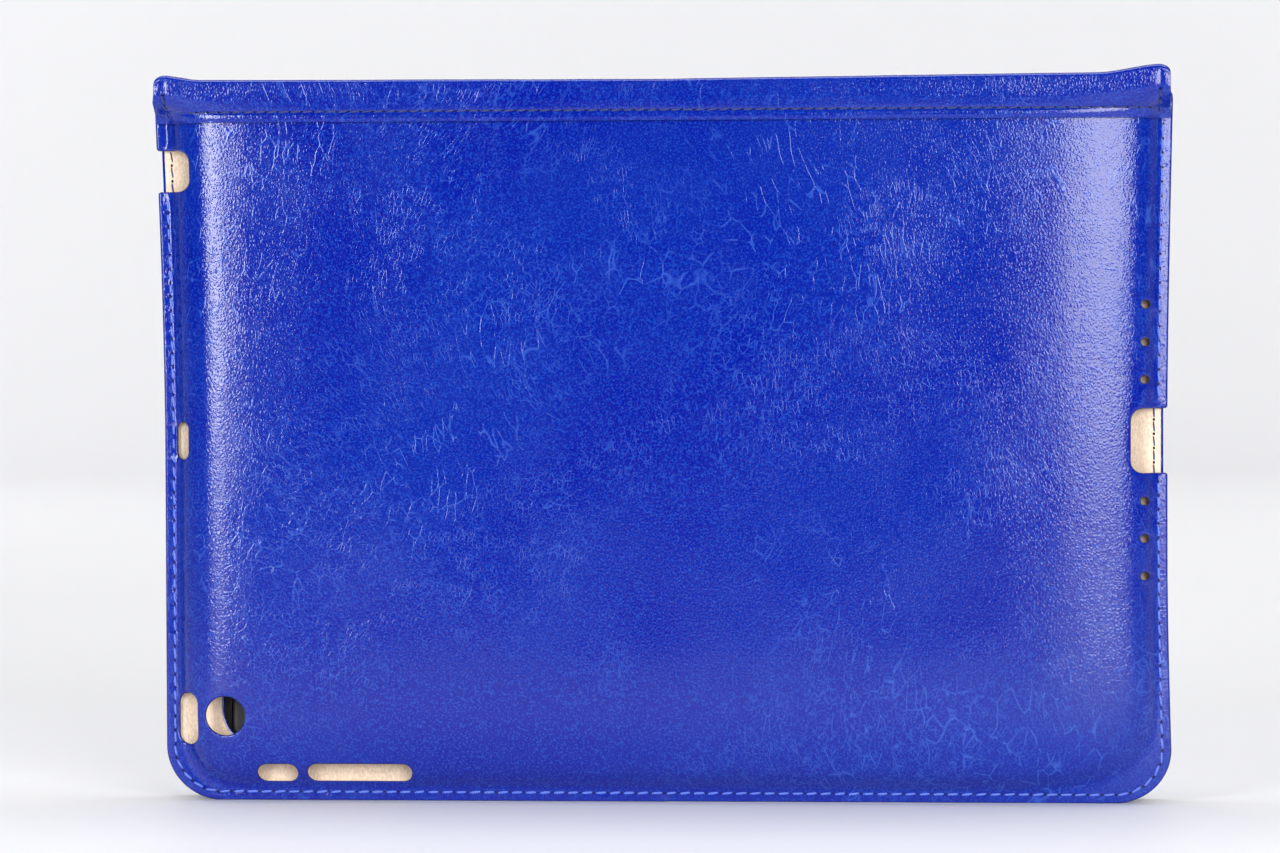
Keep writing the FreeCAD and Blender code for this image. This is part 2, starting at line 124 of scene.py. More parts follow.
def flare(x, z):
    """How far the leather's edges stand out sideways from their flat shape."""
    side = min(1.0, abs(x) / HALF) ** 3
    if x < 0:
        return -side * (1.2 + 2.2 * max(0.0, (z - 92) / 85) ** 1.6)
    return side * (1.2 + 1.4 * max(0.0, (z - 100) / 75) ** 1.3 + 0.9 * max(0.0, (60 - z) / 45) ** 1.5)


def inset(x, z, corner=30.0, power=4.7):
    """Distance in from the panel's edge, on the scale of the left side: the crown rises over a wider strip elsewhere."""
    side = HALF - abs(x)
    side = min(side, 5.0) + max(0.0, side - 5.0) / (2.1 if x > 0 else 1.0)
    z = min(z, 3.6) + max(0.0, z - 3.6) * 0.58
    u, v = max(0.0, corner - side) / corner, max(0.0, corner - z) / corner
    if u == 0 or v == 0:
        return min(side, z)
    return corner * (1 - (u ** power + v ** power) ** (1 / power))


def crown(x, z):
    """Height of the sleeve's back over its margin."""
    d = inset(x, z)
    high = rise(d)
    soft = smooth(9, 30, d)
    high += soft * (0.30 * noise.noise(Vector((x / 34, z / 46, 3.1))) + 0.10 * noise.noise(Vector((x / 13, z / 19, 8.7))))
    high -= 0.16 * math.exp(-((d - EDGE_SEAM) / 0.42) ** 2) if z < BAND_LOW else 0.0
    edge = 1 - smooth(0, 4.4, d)
    return high - (0.60 if x > 0 else -0.06) * edge + 0.10 * edge * noise.noise(Vector((x / 12, z / 12, 1.7)))


def back_y(x, z):
    return Y_MARGIN - crown(x, z)


# ---- outlines, as closed loops of (x, z)
def arc(x, z, radius, start, end, step=0.9):
    count = max(3, int(abs(math.radians(end - start)) * radius / step))
    angles = [math.radians(start + (end - start) * i / count) for i in range(count + 1)]
    return [(x + radius * math.cos(a), z + radius * math.sin(a)) for a in angles]


def spaced(points, step=1.6):
    """The loop with points added along its long edges and doubled points dropped."""
    kept = [p for i, p in enumerate(points) if math.dist(p, points[i - 1]) > 1e-4]
    out = []
    for a, b in zip(kept, kept[1:] + kept[:1]):
        count = max(1, round(math.dist(a, b) / step))
        out += [(a[0] + (b[0] - a[0]) * i / count, a[1] + (b[1] - a[1]) * i / count) for i in range(count)]
    return out


def rounded(x0, x1, z0, z1, low_r, top_r, step=1.6):
    return spaced(arc(x1 - low_r, z0 + low_r, low_r, -90, 0) + arc(x1 - top_r, z1 - top_r, top_r, 0, 90)
                  + arc(x0 + top_r, z1 - top_r, top_r, 90, 180) + arc(x0 + low_r, z0 + low_r, low_r, 180, 270), step)


def notched(half, top, step=0.0, grow=0.0):
    """The panel's outline with its two open notches."""
    lip = 0.7
    c0, c1, cd = CONNECTOR[0] - grow, CONNECTOR[1] + grow, HALF - CONNECTOR[2] - grow
    h0, h1, hd = HEADPHONE[0] - grow, HEADPHONE[1] + grow, -HALF + HEADPHONE[2] + grow
    r, low_r = NOTCH_R, LOW_R - step
    path = arc(half - low_r, step + low_r, low_r, -90, 0)
    path += arc(half - lip, c0 - lip, lip, 0, 90, 0.3) + arc(cd + r, c0 + r, r, 270, 180) + arc(cd + r, c1 - r, r, 180, 90)
    path += arc(half - lip, c1 + lip, lip, -90, 0, 0.3)
    path += arc(half - TOP_R, top - TOP_R, TOP_R, 0, 90) + arc(-half + TOP_R, top - TOP_R, TOP_R, 90, 180)
    path += arc(-half + lip, h1 + lip, lip, 180, 270, 0.3) + arc(hd - r, h1 - r, r, 90, 0) + arc(hd - r, h0 + r, r, 0, -90)
    path += arc(-half + lip, h0 - lip, lip, 90, 180, 0.3)
    path += arc(-half + low_r, step + low_r, low_r, 180, 270)
    return spaced(path)


def slot_loop(x, z, width, height, grow=0.0):
    r = min(width, height) / 2 + grow - 0.001
    return rounded(x - width / 2 - grow, x + width / 2 + grow, z - height / 2 - grow, z + height / 2 + grow, r, r, 0.9)


def circle_loop(x, z, radius, grow=0.0):
    r = radius + grow
    count = max(14, int(2 * math.pi * r / 0.7))
    return [(x + r * math.cos(2 * math.pi * i / count), z + r * math.sin(2 * math.pi * i / count)) for i in range(count)]


def cut_loops(grow=0.0):
    return [slot_loop(*s, grow) for s in SLOTS] + [circle_loop(*h, grow) for h in HOLES]


# ---- mesh helpers
def make(name, verts, faces, mats, face_mats=None, sharp=False):
    mesh = bpy.data.meshes.new(name)
    mesh.from_pydata([tuple(c * MM for c in v) for v in verts], [], faces)
    for mat in mats:
        mesh.materials.append(mat)
    if face_mats:
        mesh.polygons.foreach_set("material_index", face_mats)
    mesh.polygons.foreach_set("use_smooth", [not sharp] * len(mesh.polygons))
    mesh.update()
    obj = bpy.data.objects.new(name, mesh)
    bpy.context.scene.collection.objects.link(obj)
    return obj


def area_of(loop):
    return sum(a[0] * b[1] - b[0] * a[1] for a, b in zip(loop, loop[1:] + loop[:1])) / 2


def inside(loop, x, z):
    hit = False
    for (x0, z0), (x1, z1) in zip(loop, loop[1:] + loop[:1]):
        if (z0 > z) != (z1 > z) and x < x0 + (z - z0) * (x1 - x0) / (z1 - z0):
            hit = not hit
    return hit


def moved(loop, distance, material_left=True):
    """The loop shifted into the material by a distance, point for point."""
    out = []
    for i, (x, z) in enumerate(loop):
        (xa, za), (xb, zb) = loop[i - 1], loop[(i + 1) % len(loop)]
        ax, az, bx, bz = x - xa, z - za, xb - x, zb - z
        la, lb = math.hypot(ax, az) or 1, math.hypot(bx, bz) or 1
        nx, nz = -(az / la + bz / lb), ax / la + bx / lb
        length = math.hypot(nx, nz) or 1
        sign = 1 if material_left else -1
        out.append((x + sign * distance * nx / length, z + sign * distance * nz / length))
    return out


def grid_lines(low, high, middle, fine_low, fine_high):
    """Positions between two limits, close together near the ends that ask for it."""
    steps = ((12.0, 0.8), (22.0, 1.5), (1e9, middle))
    out, at = [], 0.0
    while low + at < high:
        out.append(low + at)
        near = min(at if fine_low else 1e9, high - low - at if fine_high else 1e9)
        at += next(s for limit, s in steps if near < limit)
    return out


def sheet(name, outer, holes, surface, thick, mats, rim=0.45, toward=1, middle=3.0, fine=(True, True, True),
          warp=None, closed=False):
    """A skin or lining cut to an outline, with rolled edges.

    surface(x, z) is the y of its seen face and toward is the way its thickness goes.
    """
    if area_of(outer) < 0:
        outer = outer[::-1]
    holes = [h if area_of(h) > 0 else h[::-1] for h in holes]
    loops = [(outer, True)] + [(h, False) for h in holes]
    tree_points = [p for loop, _ in loops for p in loop]
    tree = kdtree.KDTree(len(tree_points))
    for i, p in enumerate(tree_points):
        tree.insert((p[0], p[1], 0), i)
    tree.balance()

    points, edges, shallow = [], [], rim * 1.2
    loop_ids = []
    for loop, left in loops:
        ring = moved(loop, shallow, left)
        first = len(points)
        points += ring
        loop_ids.append(range(first, len(points)))
        edges += [(first + i, first + (i + 1) % len(ring)) for i in range(len(ring))]
    on_loop = len(points)
    xs = [p[0] for p in outer]
    zs = [p[1] for p in outer]
    columns = grid_lines(min(xs), max(xs), middle, fine[0], fine[0])
    rows = grid_lines(min(zs), max(zs), middle, fine[1], fine[2])
    rings = [loop for loop, _ in loops]
    for z in rows:
        cuts = []
        for ring in rings:
            cuts += [a[0] + (z - a[1]) * (b[0] - a[0]) / (b[1] - a[1])
                     for a, b in zip(ring, ring[1:] + ring[:1]) if (a[1] > z) != (b[1] > z)]
        cuts.sort()
        for x in columns:
            if sum(c < x for c in cuts) % 2 and tree.find((x, z, 0))[2] > max(1.15, shallow + 0.5):
                points.append((x, z))
    coords, _, tris, ids, _, _ = delaunay_2d_cdt([Vector(p) for p in points], edges, [], 0, 1e-5)
    back = [min(i) if i else -1 for i in ids]
    flat = [(c.x, c.y) for c in coords]
    limits = [moved(loop, shallow, left) for loop, left in loops]
    faces = []
    for tri in tris:
        if all(0 <= back[i] < on_loop for i in tri):
            cx, cz = (sum(flat[i][k] for i in tri) / 3 for k in (0, 1))
            if not inside(limits[0], cx, cz) or any(inside(l, cx, cz) for l in limits[1:]):
                continue
        faces.append(tuple(tri))
    where = {back[i]: i for i in range(len(flat)) if 0 <= back[i] < on_loop}

    verts = [(x, surface(x, z), z) for x, z in flat]
    face_mats = [0] * len(faces)
    ring_profile = [(rim * 0.62, 0.06 * rim, 0), (rim * 0.28, 0.3 * rim, 0), (0.0, 0.85 * rim, 1),
                    (0.0, thick - 0.25 * rim, 1), (0.22 * rim, thick, 1)]
    if closed:
        ring_profile.append((3.0, thick, 1))
    for (loop, left), numbers in zip(loops, loop_ids):
        last = [where[i] for i in numbers]
        for distance, depth, kind in ring_profile:
            ring = moved(loop, distance, left)
            now = []
            for x, z in ring:
                now.append(len(verts))
                verts.append((x, surface(x, z) + toward * depth, z))
            for i in range(len(ring)):
                j = (i + 1) % len(ring)
                quad = (last[i], last[j], now[j], now[i])
                faces.append(quad if left else quad[::-1])
                face_mats.append(kind if len(mats) > 1 else 0)
            last = now
    if warp:
        verts = [(x + warp(x, z), y, z) for x, y, z in verts]
    obj = make(name, verts, faces, mats, face_mats)
    orient(obj, toward)
    return obj


def outward(obj, inside_out=lambda bm: False):
    """Turns every face outwards, and the whole mesh over if the test says that it came out inside out."""
    bm = bmesh.new()
    bm.from_mesh(obj.data)
    bmesh.ops.recalc_face_normals(bm, faces=bm.faces)
    if inside_out(bm):
        bmesh.ops.reverse_faces(bm, faces=bm.faces)
    bm.to_mesh(obj.data)
    bm.free()


def orient(obj, toward):
    """Turns a sheet's faces outwards: the seen face looks away from the thickness."""
    outward(obj, lambda bm: sum(f.normal.y * f.calc_area() for f in bm.faces) * toward > 0)


def tube(points, radii, sides, verts, faces, across):
    """Adds a round bar with closed ends along some points."""
    base = len(verts)
    count = len(points)
    for k, (p, r) in enumerate(zip(points, radii)):
        ahead = (points[min(k + 1, count - 1)] - points[max(k - 1, 0)]).normalized()
        out = across - ahead * across.dot(ahead)
        out.normalize()
        side = ahead.cross(out)
        for s in range(sides):
            a = 2 * math.pi * s / sides
            verts.append(tuple(p + out * (r * math.cos(a)) + side * (r * math.sin(a))))
    for k in range(count - 1):
        for s in range(sides):
            a, b = base + k * sides + s, base + k * sides + (s + 1) % sides
            faces.append((a, b, b + sides, a + sides))
    faces.append(tuple(base + s for s in reversed(range(sides))))
    faces.append(tuple(base + (count - 1) * sides + s for s in range(sides)))


def walk(points, pitch, closed=False):
    """Even stations along a line of 3-D points, with directions."""
    if closed:
        points = points + points[:1]
    lengths = [0.0]
    for a, b in zip(points, points[1:]):
        lengths.append(lengths[-1] + (b - a).length)
    count = max(1, int(lengths[-1] / pitch))
    out, k = [], 0
    for i in range(count):
        want = (i + 0.5) * lengths[-1] / count
        while lengths[k + 1] < want:
            k += 1
        t = (want - lengths[k]) / (lengths[k + 1] - lengths[k])
        out.append((points[k].lerp(points[k + 1], t), (points[k + 1] - points[k]).normalized()))
    return out


def stitches(name, lines, normals, mats, seed, pitch=STITCH_PITCH, radius=0.27, proud=0.13, slant=0.09, fill=0.74):
    """One row of lockstitches per line: a low arched thread, and at each end a dark disc of painted shade where it goes
    down into its needle hole.
    """
    rng = random.Random(seed)
    verts, faces, kinds = [], [], []
    for line, normal in zip(lines, normals):
        for at, ahead in walk(line, pitch):
            up = normal(at).normalized()
            side = up.cross(ahead).normalized()
            turn = slant + rng.uniform(-0.05, 0.05)
            run = (ahead + side * turn).normalized()
            half = 0.5 * pitch * fill * rng.uniform(0.94, 1.04)
            height = proud * rng.uniform(0.8, 1.2)
            r = radius * rng.uniform(0.92, 1.08)
            profile = [(-1.0, -0.9, 0.5), (-0.86, -0.35, 0.85), (-0.5, 0.7, 1.0), (0.0, 1.0, 1.04), (0.5, 0.7, 1.0),
                       (0.86, -0.35, 0.85), (1.0, -0.9, 0.5)]
            points = [at + run * (half * t) + up * (height * h) for t, h, _ in profile]
            start = len(faces)
            tube(points, [r * w for _, _, w in profile], 7, verts, faces, up)
            kinds += [0] * (len(faces) - start)
            start = len(faces)
            hole = at + ahead * (pitch / 2)
            rings = 8
            base = len(verts)
            for scale, lift in ((1.0, 0.035), (0.55, 0.075)):
                for s in range(rings):
                    a = 2 * math.pi * s / rings
                    verts.append(tuple(hole + ahead * (0.40 * scale * math.cos(a))
                                       + side * (0.31 * scale * math.sin(a)) + up * lift))
            for s in range(rings):
                t = (s + 1) % rings
                faces.append((base + s, base + t, base + rings + t, base + rings + s))
            faces.append(tuple(base + rings + s for s in range(rings)))
            kinds += [1] * (len(faces) - start)
    return make(name, verts, faces, mats, kinds)


# ---- materials
class Nodes:
    """A short way to write a node tree."""

    def __init__(self, name, **shader):
        self.mat = bpy.data.materials.new(name)
        self.mat.use_nodes = True
        self.tree = self.mat.node_tree
        self.shader = self.tree.nodes["Principled BSDF"]
        for key, value in shader.items():
            self.shader.inputs[key.replace("_", " ")].default_value = value
        self.coords = self.tree.nodes.new("ShaderNodeTexCoord").outputs["Object"]

    def put(self, socket, value):
        if isinstance(value, bpy.types.NodeSocket):
            self.tree.links.new(value, socket)
        elif value is not None:
            socket.default_value = value

    def math(self, operation, a, b=0.0, c=None, clamp=False):
        node = self.tree.nodes.new("ShaderNodeMath")
        node.operation = operation
        node.use_clamp = clamp
        for socket, value in zip(node.inputs, (a, b, c)):
            self.put(socket, value)
        return node.outputs[0]

    def noise(self, scale, detail=2.0, at=None, rough=0.5, stretch=None, out=0):
        node = self.tree.nodes.new("ShaderNodeTexNoise")
        node.inputs["Scale"].default_value = scale
        node.inputs["Detail"].default_value = detail
        node.inputs["Roughness"].default_value = rough
        self.put(node.inputs["Vector"], self.stretched(at, stretch))
        return node.outputs[out]

    def cells(self, scale, at=None, stretch=None, feature="DISTANCE_TO_EDGE", jitter=1.0):
        node = self.tree.nodes.new("ShaderNodeTexVoronoi")
        node.feature = feature
        node.inputs["Scale"].default_value = scale
        node.inputs["Randomness"].default_value = jitter
        self.put(node.inputs["Vector"], self.stretched(at, stretch))
        return node.outputs[0]

    def stretched(self, at, stretch):
        at = at or self.coords
        if not stretch:
            return at
        node = self.tree.nodes.new("ShaderNodeMapping")
        node.inputs["Scale"].default_value = stretch
        self.put(node.inputs["Vector"], at)
        return node.outputs[0]

    def warped(self, scale, amount, detail=2.0, at=None, shift=0.0):
        """The coordinates pushed about by noise, by up to half the amount each way."""
        source = at or self.coords
        if shift:
            node = self.tree.nodes.new("ShaderNodeMapping")
            node.inputs["Location"].default_value = (shift, shift, shift)
            self.put(node.inputs["Vector"], source)
            moved_at = node.outputs[0]
        else:
            moved_at = source
        push = self.noise(scale, detail, moved_at, out="Color")
        a = self.tree.nodes.new("ShaderNodeVectorMath")
        a.operation = "SUBTRACT"
        self.put(a.inputs[0], push)
        a.inputs[1].default_value = (0.5, 0.5, 0.5)
        b = self.tree.nodes.new("ShaderNodeVectorMath")
        b.operation = "MULTIPLY_ADD"
        self.put(b.inputs[0], a.outputs[0])
        b.inputs[1].default_value = (amount, amount, amount)
        self.put(b.inputs[2], source)
        return b.outputs[0]

    def span(self, value, low, high, to_low=0.0, to_high=1.0, smooth_step=True):
        node = self.tree.nodes.new("ShaderNodeMapRange")
        node.interpolation_type = "SMOOTHSTEP" if smooth_step else "LINEAR"
        self.put(node.inputs["Value"], value)
        for key, v in (("From Min", low), ("From Max", high), ("To Min", to_low), ("To Max", to_high)):
            node.inputs[key].default_value = v
        return node.outputs[0]

    def mix(self, factor, a, b):
        node = self.tree.nodes.new("ShaderNodeMix")
        node.data_type = "RGBA"
        self.put(node.inputs[0], factor)
        for socket, value in ((node.inputs[6], a), (node.inputs[7], b)):
            self.put(socket, value if isinstance(value, bpy.types.NodeSocket) else (*value, 1.0))
        return node.outputs[2]

    def bump(self, height, strength, distance, under=None):
        node = self.tree.nodes.new("ShaderNodeBump")
        node.inputs["Strength"].default_value = strength
        node.inputs["Distance"].default_value = distance
        self.put(node.inputs["Height"], height)
        if under:
            self.put(node.inputs["Normal"], under)
        return node.outputs[0]

    def finish(self, color=None, rough=None, normal=None):
        self.put(self.shader.inputs["Base Color"], color)
        self.put(self.shader.inputs["Roughness"], rough)
        if normal:
            self.put(self.shader.inputs["Normal"], normal)
        return self.mat


def leather(name, fine=1.0, veins=1.0):
    """Waxed blue leather: a fine pebble grain with painted shade in its grooves and painted glints on it, and clusters
    of long fine wrinkles whose paler colour is partly pull-up wear and partly a painted highlight.
    """
    n = Nodes(name, IOR=1.5, Specular_IOR_Level=0.5)
    small = n.warped(500.0, 0.0010)
    flow = n.warped(70.0, 0.0060, 2.0, n.warped(16.0, 0.045, 1.0, shift=0.3), 1.7)

    def net(scale, stretch, width, at):
        """A net of fine lines along the borders of long cells."""
        return n.span(n.cells(scale, at, stretch), 0.0, width, 1.0, 0.0)

    pebble = n.span(n.cells(1250.0, small, (1.0, 1.0, 0.8)), 0.02, 0.42)
    patch = n.span(n.noise(24.0, 3.0, n.warped(12.0, 0.06, shift=2.2), 0.55), 0.44, 0.60)
    patch_b = n.span(n.noise(17.0, 3.0, n.warped(9.0, 0.05, shift=4.1), 0.55), 0.45, 0.62)
    wear_and_sheen_mask = n.span(n.noise(300.0, 3.0, rough=0.6), 0.40, 0.62)
    broken = n.math("MULTIPLY", patch_b, n.span(n.noise(230.0, 2.0), 0.44, 0.58))
    long = n.math("MULTIPLY", net(300.0, (1.0, 1.0, 0.34), 0.050, flow), broken)
    # this mask places the short wrinkles, and with them both their pull-up wear and their painted highlight
    rubbed_and_sheen_mask = n.math("MULTIPLY_ADD", n.math("MULTIPLY", patch, wear_and_sheen_mask), 0.85, 0.06)
    short = n.math("MULTIPLY", net(760.0, (1.0, 1.0, 0.45), 0.090, flow), rubbed_and_sheen_mask)
    lines = n.math("MAXIMUM", long, n.math("MULTIPLY", short, 0.75))
    wide = n.span(n.noise(15.0, 5.0, rough=0.62), 0.38, 0.64)
    painted_glints = n.span(n.noise(1900.0, 1.0), 0.50, 0.66)
    base = n.mix(wide, (0.0010, 0.0075, 0.265), (0.0030, 0.022, 0.300))
    # painted shade: the base is darkened along the borders of the pebble cells, in the grain's grooves
    base = n.mix(n.math("MULTIPLY", n.math("SUBTRACT", 1.0, pebble), 0.55), base, (0.0006, 0.0048, 0.200))
    # painted glints: fine paler specks stand in for light caught by the grain
    base = n.mix(n.math("MULTIPLY", painted_glints, 0.55), base, (0.0090, 0.058, 0.40))
    # partly pull-up wear, partly a painted highlight: the wrinkle lines are mixed towards a paler blue
    base = n.mix(n.math("MULTIPLY", lines, 0.52 * veins), base, (0.038, 0.115, 0.52))
    height = n.math("ADD", n.math("MULTIPLY", pebble, 0.60), n.math("MULTIPLY", lines, 0.75 * veins))
    height = n.math("ADD", height, n.math("MULTIPLY", n.noise(900.0, 2.0), 0.5))
    normal = n.bump(height, 0.16 * fine, 0.00022)
    rough = n.span(n.noise(60.0, 4.0), 0.3, 0.7, 0.11, 0.16, False)
    return n.finish(base, rough, normal)


def edge_paint():
    n = Nodes("edge_paint", Specular_IOR_Level=0.4)
    tone = n.mix(n.noise(900.0, 3.0), (0.0030, 0.0060, 0.045), (0.010, 0.018, 0.11))
    return n.finish(tone, n.span(n.noise(1500.0, 2.0), 0.3, 0.7, 0.40, 0.62, False), n.bump(n.noise(2200.0, 2.0), 0.5, 0.0001))


def microfibre(name, tint=(0.78, 0.62, 0.48)):
    n = Nodes(name, Specular_IOR_Level=0.2, Sheen_Weight=0.35, Sheen_Roughness=0.5)
    fibre = n.noise(2600.0, 3.0, n.warped(700.0, 0.0012), stretch=(1.0, 1.0, 0.35))
    cloud = n.noise(90.0, 3.0)
    pale = tuple(min(1.0, c * 1.10) for c in tint)
    deep = tuple(c * 0.80 for c in tint)
    tone = n.mix(n.span(fibre, 0.30, 0.70), deep, pale)
    tone = n.mix(n.math("MULTIPLY", n.span(cloud, 0.35, 0.65), 0.30), tone, pale)
    normal = n.bump(n.math("ADD", fibre, n.math("MULTIPLY", n.noise(500.0, 2.0), 0.6)), 0.45, 0.00020)
    return n.finish(tone, n.span(fibre, 0.3, 0.7, 0.80, 0.95, False), normal)


def thread(name, pale, deep):
    n = Nodes(name, Specular_IOR_Level=0.5, Sheen_Weight=0.2, Sheen_Roughness=0.4)
    wave = n.tree.nodes.new("ShaderNodeTexWave")
    wave.bands_direction = "DIAGONAL"
    wave.inputs["Scale"].default_value = 900.0
    wave.inputs["Distortion"].default_value = 0.6
    n.put(wave.inputs["Vector"], n.coords)
    tone = n.mix(wave.outputs["Fac"], deep, pale)
    tone = n.mix(n.math("MULTIPLY", n.noise(3000.0, 2.0), 0.35), tone, pale)
    return n.finish(tone, n.span(wave.outputs["Fac"], 0.0, 1.0, 0.50, 0.34, False), n.bump(wave.outputs["Fac"], 0.5, 0.00008))


# painted shade: a dark disc stands in for the shadow inside a needle hole
def painted_hole_shade():
    n = Nodes("painted_hole_shade", Specular_IOR_Level=0.2)
    return n.finish(n.mix(n.noise(1500.0, 2.0), (0.0012, 0.0025, 0.020), (0.003, 0.007, 0.050)), 0.8)


def plastic(name, dark, pale, rough=(0.42, 0.55), grain=1600.0, strength=0.18, **extra):
    """Moulded plastic with a fine spark-eroded texture and faint flow marks."""
    n = Nodes(name, Specular_IOR_Level=0.5, **extra)
    fine = n.noise(grain, 3.0)
    tone = n.mix(n.span(n.noise(55.0, 3.0), 0.3, 0.7), dark, pale)
    tone = n.mix(n.math("MULTIPLY", n.span(fine, 0.45, 0.75), 0.25), tone, tuple(min(1.0, c * 1.6 + 0.004) for c in pale))
    rough_at = n.span(n.noise(160.0, 4.0), 0.3, 0.7, rough[0], rough[1], False)
    height = n.math("ADD", fine, n.math("MULTIPLY", n.cells(grain * 0.8, feature="F1"), 0.5))
    return n.finish(tone, rough_at, n.bump(height, strength, 0.00012))


def metal(name, tone, rough=(0.22, 0.36), brush=(1.0, 40.0, 40.0), scale=60.0):
    """Brushed or plated metal with hairlines along X and small stains."""
    n = Nodes(name, Metallic=1.0)
    hair = n.noise(scale, 4.0, stretch=brush)
    color = n.mix(n.span(n.noise(120.0, 3.0), 0.35, 0.7), tone, tuple(c * 0.84 for c in tone))
    return n.finish(color, n.span(hair, 0.3, 0.7, rough[0], rough[1], False), n.bump(hair, 0.10, 0.00006))


def board():
    n = Nodes("stiffener_board", Specular_IOR_Level=0.25)
    fibre = n.noise(700.0, 4.0, n.warped(200.0, 0.003), stretch=(0.35, 1.0, 1.0))
    tone = n.mix(n.span(fibre, 0.3, 0.7), (0.110, 0.105, 0.098), (0.190, 0.182, 0.170))
    tone = n.mix(n.span(n.noise(1900.0, 1.0), 0.68, 0.74), tone, (0.045, 0.043, 0.04))
    return n.finish(tone, 0.9, n.bump(fibre, 0.35, 0.00015))


def circuit():
    n = Nodes("solder_mask", Specular_IOR_Level=0.5, Coat_Weight=0.4, Coat_Roughness=0.15)
    track = n.tree.nodes.new("ShaderNodeTexBrick")
    track.inputs["Scale"].default_value = 260.0
    track.inputs["Mortar Size"].default_value = 0.12
    n.put(track.inputs["Vector"], n.coords)
    tone = n.mix(n.span(track.outputs["Fac"], 0.2, 0.8), (0.010, 0.085, 0.035), (0.020, 0.145, 0.060))
    tone = n.mix(n.math("MULTIPLY", n.noise(90.0, 3.0), 0.2), tone, (0.006, 0.06, 0.03))
    return n.finish(tone, n.span(n.noise(300.0, 2.0), 0.3, 0.7, 0.28, 0.42, False), n.bump(track.outputs["Fac"], 0.2, 0.00008))


def clear(name, tone):
    n = Nodes(name, IOR=1.49, Transmission_Weight=0.55)
    color = n.mix(n.noise(200.0, 2.0), tone, tuple(c * 0.9 for c in tone))
    rough = n.span(n.noise(400.0, 2.0), 0.3, 0.7, 0.08, 0.20, False)
    return n.finish(color, rough, n.bump(n.noise(900.0, 2.0), 0.06, 0.00005))


BLUE = leather("waxed_leather")
BLUE_THIN = leather("waxed_leather_thin", 0.8, 0.7)
EDGE = edge_paint()
BEIGE = microfibre("beige_microfibre")
SEAM = thread("blue_thread", (0.150, 0.250, 0.80), (0.035, 0.085, 0.45))
SEAM_DARK = thread("dark_thread", (0.020, 0.035, 0.20), (0.006, 0.012, 0.075))
HOLE_SHADE = painted_hole_shade()
BOARD = board()
BLACK = plastic("black_moulding", (0.0105, 0.0108, 0.0125), (0.0150, 0.0155, 0.0175))
CAP = plastic("black_keycap", (0.0120, 0.0122, 0.0138), (0.0170, 0.0175, 0.0195), (0.34, 0.46), 2200.0, 0.12)
CLEAR = clear("clear_film", (0.80, 0.84, 0.82))
LENS = clear("lens", (0.84, 0.90, 0.86))
DOME = plastic("dome_silicone", (0.42, 0.42, 0.40), (0.56, 0.56, 0.54), (0.5, 0.65), 900.0, 0.15)
ALUMINIUM = metal("rolled_aluminium", (0.72, 0.73, 0.745), (0.25, 0.40))
STEEL = metal("zinc_steel", (0.60, 0.60, 0.59), (0.25, 0.38), (1.0, 1.0, 1.0), 500.0)
NICKEL = metal("nickel_plate", (0.70, 0.69, 0.65), (0.12, 0.22), (1.0, 1.0, 1.0), 300.0)
FOIL = metal("cell_foil", (0.66, 0.67, 0.69), (0.30, 0.48), (1.0, 1.0, 1.0), 140.0)
FILM = plastic("adhesive_film", (0.50, 0.48, 0.42), (0.64, 0.62, 0.56), (0.55, 0.7), 700.0, 0.2)
GREEN = circuit()

for node, mat in {
    "window_frame_board": BOARD, "frame_magnets": NICKEL, "cover_board": BOARD, "cover_magnets": NICKEL,
    "keyboard_top_frame": BLACK, "keyboard_bottom_shell": BLACK, "shell_screws": STEEL, "keyboard_adhesive": FILM,
    "key_base_plate": ALUMINIUM, "rubber_dome_sheet": DOME, "circuit_board": GREEN, "membrane_ribbon": CLEAR,
    "battery": FOIL, "charging_socket": STEEL, "switch_housing": BLACK, "pairing_tact_switch": BLACK,
    "status_lens": LENS, "power_switch_slider": CAP, "pairing_button": CAP,
}.items():
    mesh = frame["nodes"][node].data
    mesh.materials.clear()
    mesh.materials.append(mat)


# ---- the sleeve: back skin, its lining, the window frame
skin = sheet("sleeve_back_leather", notched(HALF, PANEL_TOP), cut_loops(), back_y, SKIN_T, [BLUE, EDGE], rim=0.5, warp=flare)
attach(skin, "sleeve")
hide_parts("sleeve_back_skin")


def lining_y(x, z):
    return back_y(x, z) + SKIN_T + LINING_T


lining = sheet("sleeve_back_microfibre", notched(HALF - 1.2, PANEL_TOP - 0.4, 1.2, 0.5), cut_loops(0.45), lining_y,
               LINING_T - 0.06, [BEIGE], rim=0.2, toward=-1, warp=flare)
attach(lining, "sleeve")
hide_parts("sleeve_back_lining")

outer = rounded(-HALF + FRAME_STEP, HALF - FRAME_STEP, FRAME_STEP, FRAME_TOP, LOW_R - FRAME_STEP, TOP_R)
opening = rounded(-WINDOW[0], WINDOW[0], WINDOW[1], WINDOW[2], WINDOW[3], WINDOW[3])
frame_lining = sheet("window_frame_microfibre", moved(outer, 0.6), [moved(opening, 0.5, False)],
                     lambda x, z: Y_POCKET + 0.02 + 0.05 * noise.noise(Vector((x / 11, z / 11, 4.0))), LINING_T - 0.04,
                     [BEIGE], rim=0.25, toward=1, middle=4.0, warp=flare)
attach(frame_lining, "sleeve")
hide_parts("window_frame_lining")


def frame_y(x, z):
    """The window frame's leather: pinched at both edges where it turns over the board."""
    out = min(HALF - FRAME_STEP - abs(x), z - FRAME_STEP, FRAME_TOP - z)
    gap = max(abs(x) - WINDOW[0], WINDOW[1] - z, z - WINDOW[2])
    edge = max(0.0, min(out, gap))
    groove = 0.14 * math.exp(-((out - EDGE_SEAM + 0.4) / 0.4) ** 2)
    return Y_FACE + 0.03 - 0.28 * (1 - smooth(0, 1.8, edge)) - groove + 0.05 * noise.noise(Vector((x / 14, z / 14, 6.0)))


